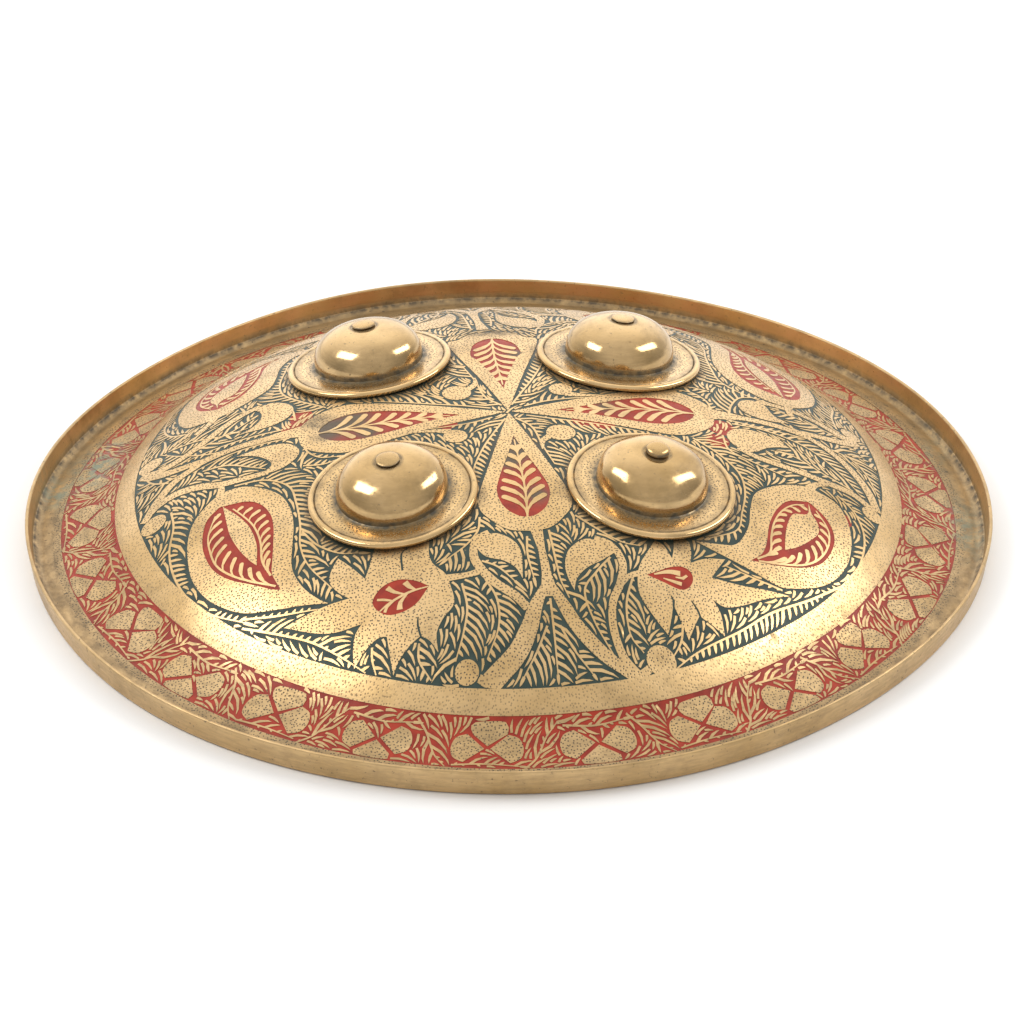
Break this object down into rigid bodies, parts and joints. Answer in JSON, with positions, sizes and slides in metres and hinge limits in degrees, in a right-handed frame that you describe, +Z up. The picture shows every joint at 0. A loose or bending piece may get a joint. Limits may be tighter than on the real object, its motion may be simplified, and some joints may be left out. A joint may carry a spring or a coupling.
{
  "type": "dhal shield",
  "caption": "Round domed brass shield with a low turned-up rim, riveted bosses and cut floral ornament filled with green and red lacquer.",
  "frame": {"origin": "on the surface the shield lies on, under the middle of its dome", "axes": "+Z up out of the face, through the top of the dome; +X and +Y along two of the ornament's four long petals, with -Y nearest the picture's camera"},
  "size_m": [0.3997, 0.3995, 0.0717],
  "materials": {
    "shield_brass": "aged, stippled, hand beaten, with green and red lacquer in the cut grounds",
    "boss_brass": "worn to a soft polish",
    "rivet_brass": "dull, hammered",
    "green_lacquer": "dark green lacquer, worn",
    "red_lacquer": "red lacquer, worn"
  },
  "bodies": {
    "root": {"shield": "shield_brass", "boss_front_right": "boss_brass", "boss_back_right": "boss_brass", "boss_back_left": "boss_brass", "boss_front_left": "boss_brass", "rivet_front_right": "rivet_brass", "rivet_back_right": "rivet_brass", "rivet_back_left": "rivet_brass", "rivet_front_left": "rivet_brass"}
  },
  "joints": []
}
